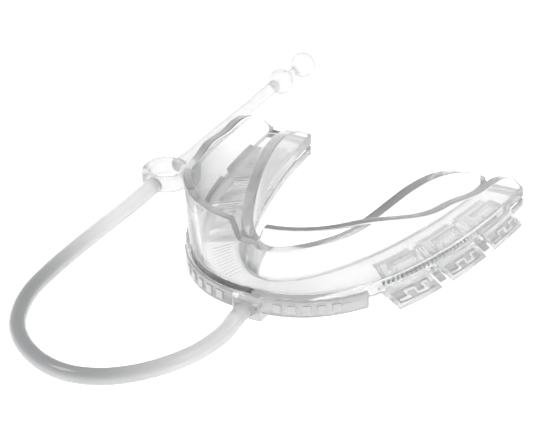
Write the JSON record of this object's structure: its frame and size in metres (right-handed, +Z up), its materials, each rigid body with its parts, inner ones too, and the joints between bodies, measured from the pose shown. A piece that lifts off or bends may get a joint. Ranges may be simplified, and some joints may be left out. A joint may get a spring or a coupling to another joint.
{
  "type": "mouthguard with quick-release strap",
  "caption": "Clear boxing mouthguard: a fitting tray on a U-shaped frame with bite pads, and a plug-in strap with a ring and stop balls.",
  "frame": {"origin": "bottom centre of the guard's bounding box, without the strap, on the surface it stands on", "axes": "+X to the guard's right arm as seen from the front, +Y from the front of the arch to its open rear, +Z up"},
  "size_m": [0.0763, 0.1331, 0.0216],
  "materials": {
    "tray": "clear, smooth",
    "frame": "clear, smooth",
    "pads": "clear, moulded",
    "strap": "clear, smooth"
  },
  "bodies": {
    "guard": {"fitting_tray": "tray", "base_frame": "frame", "bite_pad_left_front": "pads", "bite_pad_left_middle": "pads", "bite_pad_left_rear": "pads", "bite_pad_right_front": "pads", "bite_pad_right_middle": "pads", "bite_pad_right_rear": "pads"},
    "strap": {"tether_anchor": "strap", "tether_cord": "strap", "tether_ring": "strap", "tether_tail": "strap", "stop_ball_inner": "strap", "stop_ball_neck": "strap", "stop_ball_outer": "strap"}
  },
  "joints": [
    {"name": "tether_slide", "type": "slide", "parent": "guard", "child": "strap", "axis": [0, -1, 0], "range_m": [0, 0.012]}
  ]
}
